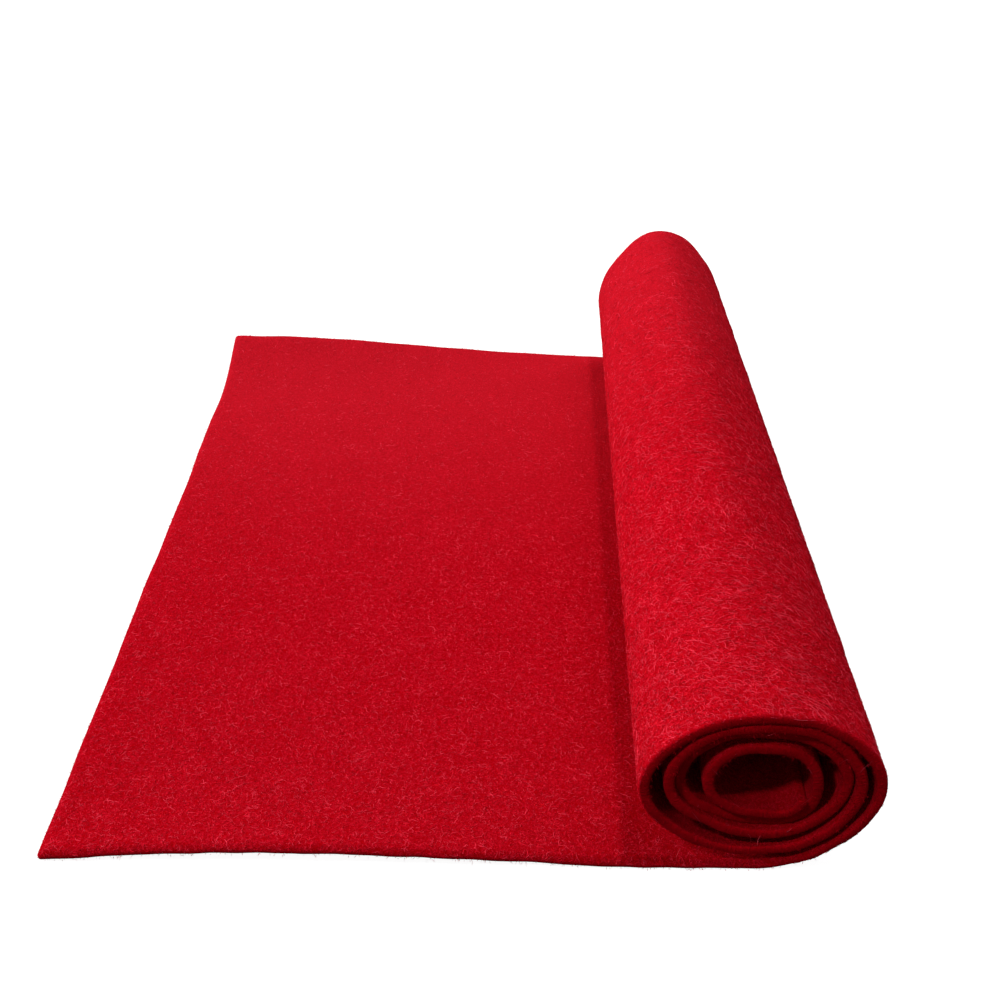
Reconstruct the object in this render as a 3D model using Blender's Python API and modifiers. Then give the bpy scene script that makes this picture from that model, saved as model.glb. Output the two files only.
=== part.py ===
"""A partly unrolled roll of red needle felt, lying on a table.

One cut sheet: a flat stretch on the left, the rest wound loosely round an open core on the right.
Metres, +Z up. X runs across the roll, Y along it, and the open end that shows is at the lowest Y.
The origin is the middle of the underside.
"""

import bmesh
import bpy
import numpy as np

mm = 0.001

# The cut sheet
sheet_width = 300 * mm
felt_thickness = 2.7 * mm
flat_length = 184 * mm          # from the free edge to below the roll's centre line

# The roll: its centre line at each end, as (across, height) from where the flat stretch stops
roll_centre = {
    "near": (0.0 * mm, 28.0 * mm),
    "far": (-0.8 * mm, 30.0 * mm),
}

# Distance in millimetres from the centre line to the middle of the felt. A row is a turn, the
# outermost first; the columns go round the way the felt is wound, an eighth of a turn apart:
# down, down right, right, up right, up, up left, left, down left.
turns_near = [
    [26.65, 27.4, 29.9, 24.7, 21.7, 24.5, 29.3, 23.9],
    [21.7, 23.2, 24.8, 21.4, 18.55, 21.1, 23.0, 17.2],
    [16.0, 18.3, 21.1, 18.1, 15.5, 17.4, 16.9, 13.8],
    [12.95, 14.9, 17.7, 14.6, 12.45, 13.6, 13.4, 10.4],
    [9.9, 11.6, 13.8, 11.3],
]
turns_far = [
    [28.65, 26.4, 24.4, 24.6, 29.6, 24.7, 23.9, 23.4],
    [24.6, 22.7, 21.0, 21.2, 25.2, 21.2, 20.5, 19.8],
    [20.6, 19.0, 17.6, 17.8, 20.9, 17.6, 17.0, 16.2],
    [16.4, 15.1, 14.2, 14.3, 16.4, 13.9, 13.4, 12.4],
    [12.2, 11.5, 10.9, 10.8],
]
inner_end = 34.6                # where the felt stops, in eighths of a turn from below the centre

# How far in from the open end the cut edge lies, in millimetres, by eighths of a turn
edge_set_back = {
    "eighths": [0, 8, 16, 20, 26, 28, inner_end],
    "depth": [0.0, 0.2, 0.6, 3.2, 3.2, 1.2, 1.0],
}

# How far the flat stretch lifts off the table along its two long edges, in millimetres
edge_lift = {
    "from_roll": [0, 25, 45, 70, 100, 130, 160, 184],
    "near": [0.0, 0.0, 0.4, 2.0, 3.3, 3.7, 2.5, 0.3],
    "far": [0.0, 0.5, 1.2, 2.4, 4.7, 7.0, 8.4, 8.2],
}
near_lift_reach = 40 * mm       # how far in from its edge each lift fades out
far_lift_reach = 50 * mm

# Mesh density
flat_steps = 14
steps_per_eighth = 4
rows_across = [0, 0.04, 0.09, 0.17, 0.33, 0.5, 0.67, 0.83, 0.91, 0.96, 1]
curve_samples = 16              # fine steps per eighth, for measuring along the winding

felt_colour = (0.55, 0.008, 0.02, 1)


def clear_scene():
    for old in list(bpy.data.objects):
        bpy.data.objects.remove(old, do_unlink=True)


def smooth_value(values, place):
    """Value at a place along evenly spaced values, on a smooth curve that starts level."""
    last = len(values) - 1
    here = np.minimum(np.floor(place).astype(int), last - 1)
    t = place - here
    before = values[np.abs(here - 1)]
    start, end = values[here], values[here + 1]
    after = values[np.minimum(here + 2, last)]
    slope_in = (end - before) / 2
    slope_out = (after - start) / 2
    return ((2 * t**3 - 3 * t**2 + 1) * start + (t**3 - 2 * t**2 + t) * slope_in
            + (3 * t**2 - 2 * t**3) * end + (t**3 - t**2) * slope_out)


def blend(near, far, across):
    return np.asarray(near) * (1 - across) + np.asarray(far) * across


def section_points(across, eighths):
    """Middle of the felt (X, Z) at the given eighths of a turn, on a section across the roll."""
    centre_x, centre_z = blend(roll_centre["near"], roll_centre["far"], across)
    radii = blend(sum(turns_near, []), sum(turns_far, []), across) * mm
    radius = smooth_value(radii, eighths)
    angle = (eighths - 2) * np.pi / 4      # two eighths below +X is straight down
    return centre_x + radius * np.cos(angle), centre_z + radius * np.sin(angle)


def section_curve(across):
    """The whole section, free edge first, as points (X, Z) with their distance along the felt."""
    eighths = np.linspace(0, inner_end, int(inner_end * curve_samples) + 1)
    x, z = section_points(across, eighths)
    x = np.append(-flat_length, x)
    z = np.append(z[0], z)
    steps = np.hypot(np.diff(x), np.diff(z))
    return x, z, np.append(0, np.cumsum(steps))


def felt_stations():
    """Places along the felt where the sheet has a mesh line: distances, and eighths of a turn."""
    eighths = np.linspace(0, inner_end, round(inner_end * steps_per_eighth) + 1)
    fine = np.linspace(0, inner_end, int(inner_end * curve_samples) + 1)
    along = section_curve(0)[2]
    wound = np.interp(eighths, fine, along[1:])
    flat = np.linspace(0, flat_length, flat_steps + 1)[:-1]
    return np.append(flat, wound), np.append(np.zeros(flat_steps), eighths)


def lift(x, across):
    """Height of the flat stretch above the table at X."""
    near = np.interp(-x / mm, edge_lift["from_roll"], edge_lift["near"])
    far = np.interp(-x / mm, edge_lift["from_roll"], edge_lift["far"])
    near_fade = max(0, 1 - across * sheet_width / near_lift_reach) ** 2
    far_fade = max(0, 1 - (1 - across) * sheet_width / far_lift_reach) ** 2
    return (near * near_fade + far * far_fade) * mm


def sheet_row(across):
    """One line of points along the felt, from its free edge to its inner end."""
    distance, eighths = felt_stations()
    curve_x, curve_z, along = section_curve(across)
    x = np.interp(distance, along, curve_x)
    z = np.interp(distance, along, curve_z)
    z = z + np.where(distance < flat_length, lift(x, across), 0)
    set_back = np.interp(eighths, edge_set_back["eighths"], edge_set_back["depth"]) * mm
    y = across * sheet_width + set_back * (1 - across)
    return np.stack([x, y, z], axis=1)


def felt_material():
    material = bpy.data.materials.new("red_felt")
    material.use_nodes = True
    shader = material.node_tree.nodes["Principled BSDF"]
    shader.inputs["Base Color"].default_value = felt_colour
    shader.inputs["Roughness"].default_value = 0.95
    shader.inputs["Metallic"].default_value = 0
    material.diffuse_color = felt_colour
    return material


def build_felt_sheet(collection):
    """The sheet's middle surface as a grid laid on its rows, with the felt's thickness."""
    rows = np.array([sheet_row(across) for across in rows_across])
    mesh = bpy.data.meshes.new("felt_sheet")
    grid = bmesh.new()
    bmesh.ops.create_grid(grid, x_segments=rows.shape[1] - 1, y_segments=rows.shape[0] - 1, size=1)
    for vertex, point in zip(grid.verts, rows.reshape(-1, 3)):
        vertex.co = point
    bmesh.ops.reverse_faces(grid, faces=grid.faces)
    grid.to_mesh(mesh)
    grid.free()
    mesh.materials.append(felt_material())
    sheet = bpy.data.objects.new("felt_sheet", mesh)
    collection.objects.link(sheet)
    solid = sheet.modifiers.new("thickness", "SOLIDIFY")
    solid.thickness = felt_thickness
    solid.offset = 0
    solid.use_even_offset = True
    return sheet


def stand_on_origin(sheet):
    """Moves the mesh so that the middle of its underside is at the origin."""
    solid = sheet.evaluated_get(bpy.context.evaluated_depsgraph_get())
    points = np.array([vertex.co for vertex in solid.data.vertices])
    low, high = points.min(axis=0), points.max(axis=0)
    middle = (low + high) / 2
    for vertex in sheet.data.vertices:
        vertex.co.x -= middle[0]
        vertex.co.y -= middle[1]
        vertex.co.z -= low[2]


def main():
    clear_scene()
    collection = bpy.data.collections.new("roll_of_felt")
    bpy.context.scene.collection.children.link(collection)
    sheet = build_felt_sheet(collection)
    bpy.context.view_layer.update()
    stand_on_origin(sheet)
    sheet.data.shade_smooth()


main()
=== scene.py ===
import math

import bmesh
import bpy
import numpy as np
from mathutils import Matrix, Vector


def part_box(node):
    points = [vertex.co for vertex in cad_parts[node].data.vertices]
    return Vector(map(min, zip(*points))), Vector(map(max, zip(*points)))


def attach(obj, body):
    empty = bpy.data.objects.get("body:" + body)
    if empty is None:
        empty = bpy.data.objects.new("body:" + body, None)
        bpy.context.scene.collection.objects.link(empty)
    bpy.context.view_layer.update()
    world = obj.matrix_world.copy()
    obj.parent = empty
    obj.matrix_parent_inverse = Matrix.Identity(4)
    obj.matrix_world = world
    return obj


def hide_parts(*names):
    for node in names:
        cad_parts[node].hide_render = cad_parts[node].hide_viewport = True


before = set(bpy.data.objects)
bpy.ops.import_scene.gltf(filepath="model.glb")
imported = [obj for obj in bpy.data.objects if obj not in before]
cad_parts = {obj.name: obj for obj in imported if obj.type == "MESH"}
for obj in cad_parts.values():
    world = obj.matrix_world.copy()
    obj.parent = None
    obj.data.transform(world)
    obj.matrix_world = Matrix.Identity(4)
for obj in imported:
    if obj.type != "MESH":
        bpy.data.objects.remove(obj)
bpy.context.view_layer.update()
print("frame loaded:", ", ".join(sorted(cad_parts)))

mm = 0.001

camera = {
    "place": (13.36, -407.96, 267.83),  # mm, in the row frame
    "down": 31.34,                      # degrees below level
    "turn": -0.516,                     # degrees to the right of +Y
    "roll": 0.344,
    "lens": 50.2,                       # mm
    "sensor": 36,
}


def makeCamera(settings):
    down, turn, roll = (math.radians(settings[key]) for key in ("down", "turn", "roll"))
    level = Vector((math.sin(turn), math.cos(turn), 0))
    right = Vector((math.cos(turn), -math.sin(turn), 0))
    ahead = level * math.cos(down) - Vector((0, 0, math.sin(down)))
    up = right.cross(ahead)
    rolledRight = right * math.cos(roll) + up * math.sin(roll)
    rolledUp = up * math.cos(roll) - right * math.sin(roll)
    matrix = Matrix((rolledRight, rolledUp, -ahead)).transposed().to_4x4()
    matrix.translation = Vector(settings["place"]) * mm
    made = bpy.data.objects.new("camera", bpy.data.cameras.new("camera"))
    made.data.lens = settings["lens"]
    made.data.sensor_width = settings["sensor"]
    made.matrix_world = matrix
    bpy.context.scene.collection.objects.link(made)
    bpy.context.scene.camera = made


makeCamera(camera)
print("camera placed")

# How the felt lies, in mm. Places round the roll are in eighths of a turn from where the flat
# part stops, the way the felt is wound.
felt = {
    "width": 300,               # along the roll
    "thickness": {"eighths": [0, 6, 18, 26], "mm": [2.8, 2.9, 2.8, 2.8]},
    "flatLength": 184,          # from the free edge to below the roll's centre line
    "innerEnd": 33.45,          # where the felt stops, eighths
    "nearCentre": (0.0, 28.0),  # the roll's centre line, across and up from where the flat part stops
    "farCentre": (-0.8, 30.0),
    "liftReach": (40, 50),      # how far in the near and the far edge's lift fades out
    "edgeRound": {              # the cut edges: how far in their rounding starts, and how square it is
        "eighths": [0, 1.5, 8],
        "top": {"mm": [2.0, 0.7, 0.6], "square": [1.4, 2.3, 2.3]},
        "low": {"mm": [0.4, 0.7, 0.6], "square": [2.3, 2.3, 2.3]},
    },
    "edgeTaper": 0.35,          # the flat part's underside is this much nearer at the cut edges
    "edgeTaperReach": 3,
    "edgeOut": 0.3,             # a cut edge's fluff stands this far out
    "edgeOutReach": (5, 12),    # from how far in, on the long edges and at the ends
    "edgeWander": 0.20,         # how far a cut edge strays from straight
    "edgeWanderSize": (26, 15),
    "edgeWanderReach": 10,
    "cornerRound": 1.2,
    "swell": 0.08,              # how uneven the faces are
    "swellSize": (14, 5.5),     # over this distance, and the finer part of it
    "swellFine": 0.6,
    "onTable": 0.4,             # felt that is no higher than this off the table has a flat underside
    "samples": 1400,            # points that a section's length is measured on
    "seed": 4,
}

# From the centre line to the middle of the felt, outermost turn first. The eighths of each turn:
# down, down right, right, up right, up, up left, left, down left.
nearTurns = [
    [26.65, 27.4, 29.6, 24.7, 21.7, 24.5, 29.3, 23.9],
    [21.5, 23.2, 24.8, 21.4, 18.55, 21.1, 23.0, 17.2],
    [16.0, 18.6, 21.5, 18.1, 15.5, 18.2, 20.1, 14.4],
    [12.95, 15.4, 14.1, 13.2, 11.7, 13.2, 13.2, 10.4],
    [9.5, 12.0, 11.6],
]
farTurns = [
    [28.65, 26.4, 24.4, 24.6, 29.6, 24.7, 23.9, 23.4],
    [24.6, 22.7, 21.0, 21.2, 25.2, 21.2, 20.5, 19.8],
    [20.6, 19.0, 17.6, 17.8, 20.9, 17.6, 17.0, 16.2],
    [16.4, 15.1, 14.2, 14.3, 16.4, 13.9, 13.4, 12.4],
    [12.2, 11.5, 10.9],
]
setBack = {     # how far the near cut edge lies in from the outermost turn's
    "eighths": [0, 8, 16, 20, 23, 25, 26, 28],
    "depth": [0, 0.2, 0.6, 2.2, 2.6, 2.5, 1.3, 1.0],
}
edgeLift = {    # how far the flat part's long edges stand off the table
    "fromRoll": [0, 25, 45, 70, 100, 130, 160, 184],
    "near": [0, 0, 0.4, 2.0, 3.3, 3.6, 2.2, 0],
    "far": [0, 0.5, 1.3, 2.7, 5.2, 7.7, 9.4, 9.3],
}
grid = {        # distances between the sheet's mesh lines
    "rim": [0, 0.03, 0.14, 0.38, 0.75, 1.3, 2.2, 3.6, 5.6, 8.5],  # in from a cut edge
    "across": 4.4,
    "flat": 2.4,
    "wound": 1.6,
}


# a smooth curve through evenly spaced values, level at the start
def smoothValue(values, place):
    last = len(values) - 1
    here = np.minimum(np.floor(place).astype(int), last - 1)
    t = place - here
    start, end = values[here], values[here + 1]
    slopeIn = (end - values[np.abs(here - 1)]) / 2
    slopeOut = (values[np.minimum(here + 2, last)] - start) / 2
    return ((2 * t**3 - 3 * t**2 + 1) * start + (t**3 - 2 * t**2 + t) * slopeIn
            + (3 * t**2 - 2 * t**3) * end + (t**3 - t**2) * slopeOut)


# the middle of the felt on one section, free edge first: X, Z, the distance along it, and eighths
def sectionCurve(across):
    near, far = np.array(sum(nearTurns, [])), np.array(sum(farTurns, []))
    eighths = np.linspace(0, len(near) - 1, felt["samples"])
    radius = smoothValue(near * (1 - across) + far * across, eighths)
    centre = np.array(felt["nearCentre"]) * (1 - across) + np.array(felt["farCentre"]) * across
    angle = (eighths - 2) * math.pi / 4
    x = np.append(-felt["flatLength"], centre[0] + radius * np.cos(angle))
    z = centre[1] + radius * np.sin(angle)
    z = np.append(z[0], z)
    along = np.append(0, np.cumsum(np.hypot(np.diff(x), np.diff(z))))
    return x, z, along, np.append(0, eighths)


# smooth random height over the sheet, about -1 to 1, as a sum of plane waves
def ripple(s, y, wavelength, seed, waves=18):
    random = np.random.default_rng(seed)
    total = np.zeros(np.broadcast(s, y).shape)
    for _ in range(waves):
        heading, phase = random.uniform(0, 2 * math.pi, 2)
        length = wavelength * random.uniform(0.6, 1.8)
        distance = s * math.cos(heading) + y * math.sin(heading)
        total += np.sin(distance * 2 * math.pi / length + phase)
    return total / math.sqrt(waves)


# mesh lines from start to end at about this pitch
def evenLines(start, end, pitch):
    return np.linspace(start, end, round((end - start) / pitch) + 1)


# the sheet's mesh lines: along the felt from its free edge, and across it
def feltLines():
    rim = np.array(grid["rim"])
    _, _, along, eighths = sectionCurve(0)
    inner, total = rim[-1], np.interp(felt["innerEnd"], eighths, along)
    flat = evenLines(inner, felt["flatLength"], grid["flat"])
    wound = evenLines(felt["flatLength"], total - inner, grid["wound"])
    across = evenLines(inner, felt["width"] - inner, grid["across"])
    backwards = rim[-2::-1]
    return (np.concatenate([rim[:-1], flat[:-1], wound, total - backwards]),
            np.concatenate([rim[:-1], across, felt["width"] - backwards]))


def liftOff(x, y):
    lifted = []
    for key, inward, reach in zip(("near", "far"), (y, felt["width"] - y), felt["liftReach"]):
        fade = np.clip(1 - inward / reach, 0, 1) ** 2
        lifted.append(np.interp(-x, edgeLift["fromRoll"], edgeLift[key]) * fade)
    return sum(lifted)


# how far a corner's rounding pulls the free edge in
def cornerCut(fromSide):
    cut = max(0, felt["cornerRound"] - fromSide)
    return felt["cornerRound"] - math.sqrt(felt["cornerRound"] ** 2 - cut**2)


# points on the middle of the felt, one row for each mesh line across it
def feltMiddle(lengths, widths):
    rows = []
    back = np.interp(turned, setBack["eighths"], setBack["depth"])
    sideReach, endReach = felt["edgeOutReach"]
    sideWander, endWander = felt["edgeWanderSize"]
    for y in widths:
        fromFar = felt["width"] - y
        share = y / felt["width"]
        curveX, curveZ, along, _ = sectionCurve(share)
        shift = cornerCut(min(y, fromFar)) - felt["edgeOut"]
        shift += felt["edgeWander"] * ripple(0, y, sideWander, felt["seed"])
        place = lengths + shift * np.clip(1 - lengths / endReach, 0, 1)
        x = np.interp(place, along, curveX) + np.minimum(place, 0)
        z = np.interp(place, along, curveZ)
        z = z + np.where(lengths < felt["flatLength"], liftOff(x, y), 0)
        stray = felt["edgeOut"] * (max(0, 1 - fromFar / sideReach) - max(0, 1 - y / sideReach))
        for inward, seed in ((y, felt["seed"] + 1), (fromFar, felt["seed"] + 2)):
            fade = max(0, 1 - inward / felt["edgeWanderReach"])
            stray = stray + felt["edgeWander"] * ripple(lengths, 0, endWander, seed) * fade
        rows.append(np.stack([x, y + back * (1 - share) + stray, z], axis=1))
    return np.array(rows)


# how far in a cut edge's rounding starts on a face, and how square it is, this far along the felt
def roundingAt(s, face):
    eighths, edge = np.interp(s, lengths, turned), felt["edgeRound"]
    return [np.interp(eighths, edge["eighths"], edge[face][key]) for key in ("mm", "square")]


# a face's distance from the felt's middle, as a share of what it is away from the cut edges
def faceRounding(face):
    reach, square = roundingAt(lengths, face)
    share = 1
    for inward in (fromSides[:, None], fromEnds[None, :]):
        inward = np.clip(inward / reach, 0, 1)
        share = share * (1 - (1 - inward) ** square) ** (1 / square)
    return share


def swelling(side):
    coarse, fine = felt["swellSize"]
    s, y = lengths[None, :], widths[:, None]
    uneven = ripple(s, y, coarse, felt["seed"] + 5 + side)
    return felt["swell"] * (uneven + felt["swellFine"] * ripple(s, y, fine, felt["seed"] + 7 + side))


lengths, widths = feltLines()
turned = np.interp(lengths, *sectionCurve(0)[2:])       # eighths at each mesh line
middle = feltMiddle(lengths, widths)
# the row frame's origin is the middle of the solid's underside
solidLow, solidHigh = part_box("felt_sheet")
middle[:, :, 0] += solidLow[0] / mm + felt["flatLength"]
middle[:, :, 1] -= felt["width"] / 2

normals = np.cross(np.gradient(middle, axis=1), np.gradient(middle, axis=0))
normals /= np.linalg.norm(normals, axis=2, keepdims=True)
fromEnds = np.minimum(lengths, lengths[-1] - lengths)
fromSides = np.minimum(widths, widths[-1] - widths)
thickness = np.interp(turned, felt["thickness"]["eighths"], felt["thickness"]["mm"])[None, :]
topHeight = faceRounding("top") * (thickness / 2 + swelling(0))
taper = felt["edgeTaper"] * np.clip(1 - fromSides / felt["edgeTaperReach"], 0, 1)[:, None]
lowRounding = faceRounding("low") * (1 - taper * np.interp(turned, [0, 1.5], [1, 0]))
lowHeight = lowRounding * (thickness / 2 + swelling(1))
onTable = (lengths[None, :] < felt["flatLength"]) & (middle[:, :, 2] < thickness / 2 + felt["onTable"])
lowHeight = np.where(onTable, np.minimum(lowHeight, lowRounding * thickness / 2), lowHeight)
topSide = middle + normals * topHeight[:, :, None]
lowSide = middle - normals * lowHeight[:, :, None]
lowSide[:, :, 2] = np.maximum(lowSide[:, :, 2], 0)


def meshPiece(name, points, faces, material):
    mesh = bpy.data.meshes.new(name)
    mesh.from_pydata((points * mm).tolist(), [], faces.tolist())
    mesh.materials.append(material)
    mesh.shade_smooth()
    piece = bpy.data.objects.new(name, mesh)
    bpy.context.scene.collection.objects.link(piece)
    return piece


def gridFaces(rows, columns, flip=False):
    corner = np.arange(rows - 1)[:, None] * columns + np.arange(columns - 1)[None, :]
    corner = corner.reshape(-1)
    order = [corner, corner + 1, corner + columns + 1, corner + columns]
    return np.stack(order[::-1] if flip else order, axis=1)


# a shader socket that takes + - and *, with its Math nodes added as needed
class Value:
    def __init__(self, nodes, socket):
        self.nodes = nodes
        self.socket = socket

    def __add__(self, other):
        return self.nodes.sum("ADD", self, other)

    def __sub__(self, other):
        return self.nodes.sum("SUBTRACT", self, other)

    def __rsub__(self, other):
        return self.nodes.sum("SUBTRACT", other, self)

    def __mul__(self, other):
        return self.nodes.sum("MULTIPLY", self, other)

    __radd__ = __add__
    __rmul__ = __mul__


class Nodes:
    def __init__(self, tree):
        self.tree = tree

    # adds a node, sets it up, fills its sockets and gives the output asked for
    def add(self, kind, settings, inputs, out=0):
        node = self.tree.nodes.new(kind)
        for key, value in settings.items():
            setattr(node, key, value)
        for key, value in inputs.items():
            if isinstance(value, Value):
                self.tree.links.new(value.socket, node.inputs[key])
            else:
                node.inputs[key].default_value = value
        return Value(self, node.outputs[out])

    def join(self, value, shader, name):
        self.tree.links.new(value.socket, shader.inputs[name])

    def sum(self, operation, *values):
        return self.add("ShaderNodeMath", {"operation": operation}, dict(enumerate(values)))

    def colour(self, share, first, second):
        mixed = {"Factor": share, 6: first, 7: second}
        return self.add("ShaderNodeMix", {"data_type": "RGBA"}, mixed, out=2)

    def vector(self, operation, first, second):
        return self.add("ShaderNodeVectorMath", {"operation": operation}, {0: first, 1: second})

    def noise(self, place, size, detail, roughness=0.5, out=0):
        inputs = {"Vector": place, "Scale": 1 / size, "Detail": detail, "Roughness": roughness}
        return self.add("ShaderNodeTexNoise", {"noise_dimensions": "2D"}, inputs, out)

    def spread(self, value, low, high, start=0, end=1):
        inputs = {"Value": value, "From Min": low, "From Max": high, "To Min": start, "To Max": end}
        return self.add("ShaderNodeMapRange", {"interpolation_type": "SMOOTHSTEP"}, inputs)

    # the place on the felt laid out flat, in mm, its underside beyond its upper face
    def feltPlace(self):
        place = self.add("ShaderNodeUVMap", {"uv_map": feltMap}, {})
        return self.vector("MULTIPLY", place, sheetSpan + (1,))


def newMaterial(name):
    material = bpy.data.materials.new(name)
    material.use_nodes = True
    shader = material.node_tree.nodes["Principled BSDF"]
    return material, shader, Nodes(material.node_tree)


feltMap = "OFBake"
sheetSpan = (float(lengths[-1]), 2 * felt["width"])     # both faces side by side

feltLook = {
    "ground": (0.48, 0.0003, 0.004, 1),     # between the fibres
    "strand": (0.74, 0.007, 0.024, 1),      # fibres that catch the light
    "shade": (0.37, 0.0002, 0.003, 1),      # pits and thin places
    "cut": (0.62, 0.0010, 0.009, 1),        # the cut edges: their own tone, painted lighter to stand in for the light on the roll's end
    "upperFaceShade": 0.88,          # painted shade: how much darker the upper face is than the other, which has more fluff; it makes the flat part duller than the roll
    "cutReach": (0.2, 0.55),                # they go over into the faces between these distances, mm
    "pale": (0.66, 0.016, 0.031, 1),        # painted sheen: the felt paler towards the far end
    "paintedSheenReach": (90, 300),
    "net": [                                # crimped strands: cells' length and width in mm
        {"cell": (1.1, 0.55), "heading": 35, "line": 0.22},     # heading in degrees, line's width
        {"cell": (0.9, 0.45), "heading": 110, "line": 0.22},
        {"cell": (0.7, 0.40), "heading": 70, "line": 0.20},
    ],
    "curl": (1.1, 1.3),         # how long and how wide the strands curl, mm
    "fuzz": 0.4,                # grain of the finest fluff
    "clump": 1.4,               # little tufts
    "patch": 17,                # lighter and darker patches
    "roughness": (0.88, 1.0),
    "sheen": 0.06,
    "sheenTint": (1.0, 0.03, 0.08, 1),
    "relief": 0.25,             # height of the strands, mm
}


# a mask of strands: the edges of stretched cells, broken up
def strandNet(nodes, place, net):
    length, width = net["cell"]
    turn = (0, 0, math.radians(net["heading"]))
    lie = {"Vector": place, "Rotation": turn, "Scale": (1 / length, 1 / width, 1)}
    cells = nodes.add("ShaderNodeTexVoronoi", {"feature": "DISTANCE_TO_EDGE", "voronoi_dimensions": "2D"},
                      {"Vector": nodes.add("ShaderNodeMapping", {}, lie), "Scale": 1, "Randomness": 1})
    gaps = nodes.spread(nodes.noise(place, 2.4 * width, 1), 0.40, 0.58)
    return nodes.spread(cells, 0, net["line"], 1, 0) * gaps


def feltMaterial(look):
    material, shader, nodes = newMaterial("red_felt")
    place = nodes.feltPlace()
    curlSize, curlWidth = look["curl"]
    curl = nodes.vector("SUBTRACT", nodes.noise(place, curlSize, 1, out=1), (0.5, 0.5, 0.5))
    curled = nodes.vector("ADD", place, nodes.vector("MULTIPLY", curl, (curlWidth,) * 3))
    strands = sum(strandNet(nodes, curled, net) for net in look["net"])
    fuzz = nodes.noise(place, look["fuzz"], 3, 0.7)
    clump = nodes.noise(place, look["clump"], 3, 0.6)
    patch = nodes.noise(place, look["patch"], 2)
    pits = nodes.spread(clump * 0.2 + fuzz, 0.58, 0.40)
    ground = nodes.colour(pits * 0.45, look["ground"], look["shade"])
    lit = nodes.spread(strands * 0.7 + (fuzz - 0.5) * 1.3 + (patch - 0.5) * 0.3, 0.1, 1.0)
    felted = nodes.colour(lit, ground, look["strand"])
    alongFelt, acrossFelt = (nodes.add("ShaderNodeSeparateXYZ", {}, {0: place}, out) for out in (0, 1))
    upper = nodes.sum("LESS_THAN", acrossFelt, felt["width"])
    # painted shade: the upper face, on top along the flat part, darker than the roll's outer face
    felted = nodes.colour(upper, felted, nodes.vector("MULTIPLY", felted, (look["upperFaceShade"],) * 3))
    acrossFace = nodes.sum("WRAP", acrossFelt, felt["width"], 0)
    # painted sheen: paler towards the far end
    felted = nodes.colour(nodes.spread(acrossFace, *look["paintedSheenReach"]) * 0.42, felted, look["pale"])
    # the cut edges, by the distance from a side, painted lighter to stand in for the light on the roll's
    # end; the flat part's upper fluff goes down over them
    inward = nodes.sum("MINIMUM", acrossFace, felt["width"] - acrossFace)
    cut = nodes.spread(inward + (fuzz - 0.5) * 0.5, *look["cutReach"], 0.85, 0)
    flatEnd = felt["flatLength"]
    cut = cut * (1 - upper * nodes.spread(alongFelt, flatEnd + 5, flatEnd + 25, 1, 0))
    nodes.join(nodes.colour(cut, felted, look["cut"]), shader, "Base Color")
    nodes.join(nodes.spread(clump, 0.2, 0.8, *look["roughness"]), shader, "Roughness")
    height = strands * 0.5 + fuzz * 0.8 + clump * 0.15
    bump = {"Strength": 0.7, "Distance": look["relief"] * mm, "Height": height}
    nodes.join(nodes.add("ShaderNodeBump", {}, bump), shader, "Normal")
    shader.inputs["Sheen Weight"].default_value = look["sheen"]
    shader.inputs["Sheen Roughness"].default_value = 0.5
    shader.inputs["Sheen Tint"].default_value = look["sheenTint"]
    shader.inputs["Specular IOR Level"].default_value = 0
    return material


# the map that all the felt's pieces share, from places on the felt laid out flat
def mapFelt(piece, places):
    layer = piece.data.uv_layers.new(name=feltMap)
    corners = np.zeros(len(piece.data.loops), dtype=int)
    piece.data.loops.foreach_get("vertex_index", corners)
    layer.data.foreach_set("uv", np.clip(places / sheetSpan, 0, 1)[corners].ravel())


# two faces laid on the middle of the felt, which meet at the cut edges
def buildSheet():
    rows, columns = middle.shape[:2]
    points = np.concatenate([topSide.reshape(-1, 3), lowSide.reshape(-1, 3)])
    underFaces = gridFaces(rows, columns, flip=True) + rows * columns
    faces = np.concatenate([gridFaces(rows, columns), underFaces])
    sheet = meshPiece("felt_sheet_laid", points, faces, feltMaterial(feltLook))
    lay = np.stack(np.meshgrid(lengths, widths), axis=2).reshape(-1, 2)
    mapFelt(sheet, np.concatenate([lay, lay + (0, felt["width"])]))
    work = bmesh.new()
    work.from_mesh(sheet.data)
    rim = [vertex for vertex in work.verts if vertex.is_boundary]
    bmesh.ops.remove_doubles(work, verts=rim, dist=0.01 * mm)
    work.to_mesh(sheet.data)
    work.free()
    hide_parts("felt_sheet")
    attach(sheet, "root")
    return sheet


sheet = buildSheet()
print("sheet laid:", len(sheet.data.polygons), "faces,", round(lengths[-1]), "mm long")

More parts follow.
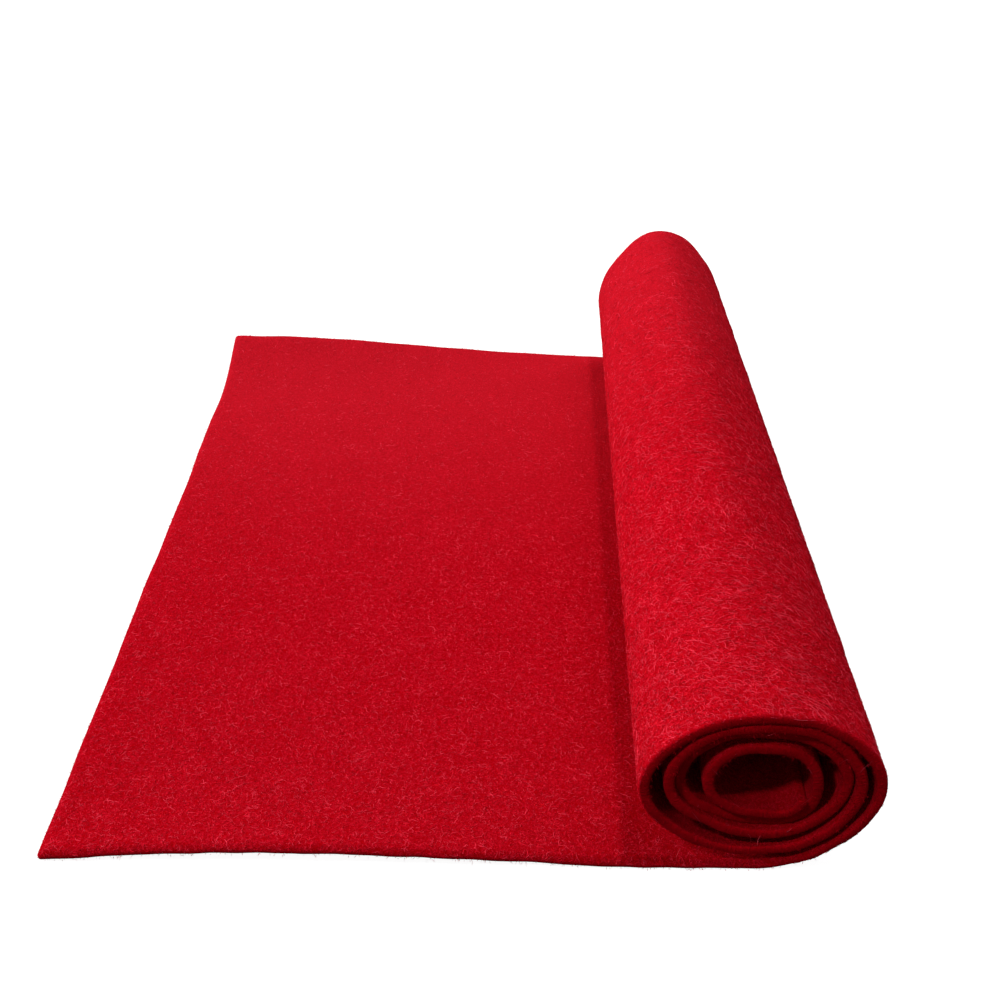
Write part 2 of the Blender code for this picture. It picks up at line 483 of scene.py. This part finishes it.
# lengths and widths in mm, and how far a fibre's middle stands off the face
fibreKinds = {
    "pale": {"colour": (1.0, 0.044, 0.088, 1), "count": 30000,
             "length": (0.5, 4.4), "width": 0.13, "stand": 0.28},
    "rose": {"colour": (0.93, 0.012, 0.038, 1), "count": 33200,
             "length": (0.5, 3.8), "width": 0.13, "stand": 0.24},
    "bright": {"colour": (0.76, 0.003, 0.013, 1), "count": 33200,
               "length": (0.6, 3.6), "width": 0.14, "stand": 0.20},
    "deep": {"colour": (0.38, 0.0002, 0.003, 1), "count": 23000,
             "length": (0.6, 3.4), "width": 0.13, "stand": 0.20},
}
fibreLay = {
    "steps": 3,                 # segments in a fibre
    "mostlyShort": 2.8,         # how far the lengths crowd towards the shortest
    "onFlat": 0.43,             # share of them on the flat part, the others on the roll
    "flat": (1, 180),           # the stretches that they cover, mm along the felt
    "roll": (196, 356),
    "run": {"eighths": [0, 2, 4, 5.5, 8], "degrees": [25, 35, 25, 65, 95]},   # from along the felt
    "swing": 0.7,               # how far that way wanders, radians
    "swingSize": 60,            # over this distance, mm
    "scatter": (1.2, 0.42),     # how far single fibres stray from it, on the flat part and on the roll
    "lengthShare": (0.78, 1.15),
    "widthShare": (0.95, 1.0),
    "bend": 0.30,               # turn at each step
    "crimp": (0.4, 1.4),
    "crimpShare": (1.0, 0.6),
    "crimpPitch": 2.3,
    "thinning": 0.72,           # fewer towards the far end, where the nap is pressed flatter
    "tilt": 0.35,
    "widths": (0.7, 1.2),
    "clear": 0.05,              # above the table, mm
}


# each kind has its own tint, a little lighter and darker over the felt
def fibreMaterial(name, colour):
    material, shader, nodes = newMaterial(name)
    patch = nodes.spread(nodes.noise(nodes.feltPlace(), 9, 2), 0.35, 0.65)
    darker = tuple(part * 0.82 for part in colour[:3]) + (1,)
    nodes.join(nodes.colour(patch, darker, colour), shader, "Base Color")
    shader.inputs["Roughness"].default_value = 0.7
    shader.inputs["Specular IOR Level"].default_value = 0.04
    return material


# points over a face of the sheet at lengths s and widths y, and the way out of the face there
def onFelt(s, y, side, height):
    column = np.clip(np.searchsorted(lengths, s) - 1, 0, len(lengths) - 2)
    row = np.clip(np.searchsorted(widths, y) - 1, 0, len(widths) - 2)
    a = np.clip((s - lengths[column]) / (lengths[column + 1] - lengths[column]), 0, 1)[..., None]
    b = np.clip((y - widths[row]) / (widths[row + 1] - widths[row]), 0, 1)[..., None]

    def mixed(values):
        low = values[row, column] * (1 - a) + values[row, column + 1] * a
        high = values[row + 1, column] * (1 - a) + values[row + 1, column + 1] * a
        return low * (1 - b) + high * b

    top = (side > 0)[..., None]
    out = mixed(normals) * np.where(top, 1, -1)
    base = np.where(top, mixed(topSide), mixed(lowSide))
    return base + out * height[..., None], out


def unit(vectors):
    return vectors / (np.linalg.norm(vectors, axis=-1, keepdims=True) + 1e-9)


# thin ribbons along lines of points, turned about their own length, as one piece
def ribbons(name, points, outward, width, turn, lay, material):
    ahead = unit(np.gradient(points, axis=1))
    flatWay = unit(np.cross(outward, ahead))
    upWay = np.cross(ahead, flatWay)
    way = flatWay * np.cos(turn)[:, None, None] + upWay * np.sin(turn)[:, None, None]
    count, stops = points.shape[:2]
    taper = np.interp(np.linspace(0, 1, stops), [0, 0.25, 0.75, 1], [0.4, 1, 1, 0.3])
    reach = way * (width[:, None] * taper[None, :] / 2)[:, :, None]
    corners = np.stack([points - reach, points + reach], axis=2).reshape(-1, 3)
    corners[:, 2] = np.maximum(corners[:, 2], 0)
    firstCorners = np.arange(count) * stops * 2
    faces = (gridFaces(stops, 2)[None] + firstCorners[:, None, None]).reshape(-1, 4)
    piece = meshPiece(name, corners, faces, material)
    places = np.repeat(lay.reshape(-1, 2), 2, axis=0)
    places[1::2, 1] += 0.1      # so that a ribbon has some width on the map
    mapFelt(piece, places)
    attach(piece, "root")
    return piece


# where fibres start: on the flat part's upper face and the outermost turn's outer face
def fibreStarts(random, count):
    onFlat = random.random(count) < fibreLay["onFlat"]
    s = np.where(onFlat, random.uniform(*fibreLay["flat"], count), random.uniform(*fibreLay["roll"], count))
    thinning = fibreLay["thinning"]
    share = random.random(count)
    y = (1 + thinning - np.sqrt((1 + thinning) ** 2 - 4 * thinning * share)) / (2 * thinning)
    return s, y * felt["width"], onFlat


def surfaceFibres(name, kind, seed):
    random = np.random.default_rng(seed)
    count, stops = kind["count"], fibreLay["steps"] + 1
    s, y, onFlat = fibreStarts(random, count)
    run = fibreLay["run"]
    heading = np.radians(np.interp(np.interp(s, lengths, turned), run["eighths"], run["degrees"]))
    heading += fibreLay["swing"] * ripple(s, y, fibreLay["swingSize"], felt["seed"] + 11)
    heading += np.where(onFlat, *fibreLay["scatter"]) * random.normal(0, 1, count)
    heading += math.pi * random.integers(0, 2, count)
    shortest, longest = kind["length"]
    length = shortest + (longest - shortest) * random.random(count) ** fibreLay["mostlyShort"]
    length *= np.where(onFlat, *fibreLay["lengthShare"])
    bend = random.normal(0, fibreLay["bend"], count)
    crimp = random.uniform(*fibreLay["crimp"], count) * np.where(onFlat, *fibreLay["crimpShare"])
    phase = random.uniform(0, 2 * math.pi, count)
    lay = np.zeros((count, stops, 2))
    lay[:, 0] = np.stack([s, y], axis=1)
    for step in range(1, stops):
        way = heading + bend * step + crimp * np.sin(phase + step * fibreLay["crimpPitch"])
        ahead = np.stack([np.cos(way), np.sin(way)], axis=1) * (length / fibreLay["steps"])[:, None]
        lay[:, step] = lay[:, step - 1] + ahead
    lay[:, :, 0] = np.maximum(lay[:, :, 0], 0.1)
    lay[:, :, 1] = np.clip(lay[:, :, 1], 0.1, felt["width"] - 0.1)
    arch = np.sin(np.linspace(0.12, math.pi - 0.12, stops))[None, :]
    height = 0.02 + kind["stand"] * random.random((count, 1)) ** 1.5 * arch
    sides = np.repeat(np.where(onFlat, 1, -1)[:, None], stops, axis=1)
    points, out = onFelt(lay[:, :, 0], lay[:, :, 1], sides, height)
    points[:, :, 2] = np.maximum(points[:, :, 2], fibreLay["clear"])
    lay[:, :, 1] += np.where(sides > 0, 0, felt["width"])
    width = kind["width"] * random.uniform(*fibreLay["widths"], count)
    width *= np.where(onFlat, *fibreLay["widthShare"])
    tilt = random.normal(0, fibreLay["tilt"], count)
    material = fibreMaterial("fibre_" + name, kind["colour"])
    return ribbons("felt_fibres_" + name, points, out, width, tilt, lay, material)


fibres = [surfaceFibres(name, kind, 20 + index) for index, (name, kind) in enumerate(fibreKinds.items())]
print("fibres laid on the faces:", sum(len(piece.data.polygons) for piece in fibres), "faces")

# what stands out of the cut edges, in mm: short fluff, and a few long hairs that lie along them
edgeKinds = {
    "fluff": {"colour": (0.64, 0.004, 0.018, 1), "perMm": 5, "length": (0.3, 0.9), "width": 0.10,
              "splay": 0.7, "bend": 0.35, "lean": 0, "steps": 3},
    "hairs": {"colour": (1.0, 0.11, 0.15, 1), "perMm": 0.055, "length": (1.0, 4.5), "width": 0.09,
              "splay": 0.3, "bend": 0.6, "lean": 3, "steps": 6},
}
edgeRoots = {"level": 1.4, "sunk": 0.15}    # how far from the felt's middle, and how deep


# roots on one cut edge: places along the felt and across it, and which way is into the felt
def edgeRun(random, side, look):
    total, width, inside = lengths[-1], felt["width"], 0.02
    span = total if side in ("near", "far") else width
    count = int(span * look["perMm"])
    run = random.uniform(0.3, span - 0.3, count)
    s = {"free": np.full(count, inside), "inner": np.full(count, total - inside)}.get(side, run)
    y = {"near": np.full(count, inside), "far": np.full(count, width - inside)}.get(side, run)
    return s, y, {"free": 1, "inner": -1}.get(side, 0), {"near": 1, "far": -1}.get(side, 0)


def edgeFibres(name, look, seed):
    random = np.random.default_rng(seed)
    reach = np.linspace(0, 1, look["steps"] + 1)[None, :, None]
    points, outs, lays = [], [], []
    for side in ("near", "far", "free", "inner"):
        s, y, inS, inY = edgeRun(random, side, look)
        count = len(s)
        rim, out = onFelt(s, y, np.ones(count), np.zeros(count))
        outward = rim - onFelt(s + inS, y + inY, np.ones(count), np.zeros(count))[0]
        outward = unit(outward - out * (outward * out).sum(axis=1, keepdims=True))
        level = random.uniform(-0.95, 0.95, count)
        insets = []
        for round, square in (roundingAt(s, "top"), roundingAt(s, "low")):
            insets.append(round * (1 - (1 - np.abs(level) ** square) ** (1 / square)))
        inset = np.where(level > 0, *insets) + edgeRoots["sunk"]
        root = rim + out * (level * edgeRoots["level"])[:, None] - outward * inset[:, None]
        along = np.cross(out, outward) * random.choice([-1, 1], (count, 1))
        way = outward + along * look["lean"] + out * (level * 0.5)[:, None]
        way = unit(way + random.normal(0, look["splay"], (count, 3)))
        length = random.uniform(*look["length"], count)
        bend = random.normal(0, look["bend"], (count, 3))
        grown = reach * length[:, None, None]
        points.append(root[:, None] + way[:, None] * grown + bend[:, None] * grown * reach)
        outs.append(np.repeat(out[:, None], look["steps"] + 1, axis=1))
        lays.append(np.repeat(np.stack([s, y], axis=1)[:, None], look["steps"] + 1, axis=1))
    points = np.concatenate(points)
    points[:, :, 2] = np.maximum(points[:, :, 2], fibreLay["clear"])
    width = look["width"] * random.uniform(0.7, 1.3, len(points))
    turn = random.uniform(0, math.pi, len(points))
    outward, lay = np.concatenate(outs), np.concatenate(lays)
    material = fibreMaterial("edge_" + name, look["colour"])
    return ribbons("felt_edge_" + name, points, outward, width, turn, lay, material)


edges = [edgeFibres(name, look, 60 + index) for index, (name, look) in enumerate(edgeKinds.items())]
print("cut edges fuzzed:", sum(len(piece.data.polygons) for piece in edges), "faces")

studio = {
    "floor": 0.32,              # what the floor gives back of the light
    "glow": 0.95,               # and what it adds, so that it stays white
    "flat": 2.0,                # radius of its flat middle, then it curves up all round, metres
    "bow": 1.0,                 # radius of that curve
    "wall": 2.5,
    "sides": 64,
    "below": 0.0001,            # it lies this far under the felt
    "ambient": 0.05,
    "lamps": {
        # kind, where it stands in metres, strength, and spread in degrees or width in metres
        "left": ("AREA", (-1.22, 0.30, 0.42), 15.6, 0.5),
        "leftFront": ("SUN", (-0.73, -0.48, 1.10), 0.80, 6),
        "front": ("SUN", (-0.25, -0.75, 0.65), 0.07, 20),
        "overhead": ("SUN", (0.10, -0.02, 1.0), 0.68, 5),
        "right": ("SUN", (1.0, 0.60, 0.95), 0.40, 25),
        "behind": ("AREA", (0.30, 0.60, 0.8), 3.5, 0.5),
    },
}


# a floor that curves up into a wall all round
def buildFloor(look):
    bow = np.linspace(0, math.pi / 2, 9)
    flat, curve = look["flat"], look["bow"]
    radii = np.concatenate([flat * np.array([0.2, 0.45, 0.7]), flat + curve * np.sin(bow), [flat + curve]])
    heights = np.concatenate([[0, 0, 0], curve * (1 - np.cos(bow)), [look["wall"]]]) - look["below"]
    turns = np.arange(look["sides"]) * 2 * math.pi / look["sides"]
    work = bmesh.new()
    centre = work.verts.new((0, 0, heights[0]))
    rings = []
    for radius, height in zip(radii, heights):
        places = [(radius * math.cos(turn), radius * math.sin(turn), height) for turn in turns]
        rings.append([work.verts.new(place) for place in places])
    for i in range(look["sides"]):
        j = (i + 1) % look["sides"]
        work.faces.new((centre, rings[0][i], rings[0][j]))
        for inner, outer in zip(rings, rings[1:]):
            work.faces.new((inner[i], outer[i], outer[j], inner[j]))
    mesh = bpy.data.meshes.new("floor")
    work.to_mesh(mesh)
    work.free()
    mesh.shade_smooth()
    material, shader, _ = newMaterial("floor")
    shader.inputs["Base Color"].default_value = (look["floor"],) * 3 + (1,)
    shader.inputs["Roughness"].default_value = 0.95
    shader.inputs["Specular IOR Level"].default_value = 0
    shader.inputs["Emission Color"].default_value = (1, 1, 1, 1)
    shader.inputs["Emission Strength"].default_value = look["glow"]
    mesh.materials.append(material)
    floor = bpy.data.objects.new("floor", mesh)
    bpy.context.scene.collection.objects.link(floor)
    # lamps and world shine through its wall, and it throws no light back onto the felt
    floor.visible_diffuse = floor.visible_glossy = floor.visible_shadow = False


def buildLight(look):
    world = bpy.data.worlds.new("studio")
    world.use_nodes = True
    background = world.node_tree.nodes["Background"]
    background.inputs["Color"].default_value = (1, 1, 1, 1)
    background.inputs["Strength"].default_value = look["ambient"]
    bpy.context.scene.world = world
    for name, (kind, place, strength, spread) in look["lamps"].items():
        lamp = bpy.data.lights.new(name, kind)
        lamp.energy = strength
        if kind == "SUN":
            lamp.angle = math.radians(spread)
        else:
            lamp.shape = "DISK"
            lamp.size = spread
        holder = bpy.data.objects.new(name, lamp)
        holder.location = place
        holder.rotation_euler = Vector(place).to_track_quat("Z", "Y").to_euler()
        bpy.context.scene.collection.objects.link(holder)
    bpy.context.scene.view_settings.view_transform = "Standard"


buildFloor(studio)
buildLight(studio)
print("studio lit")
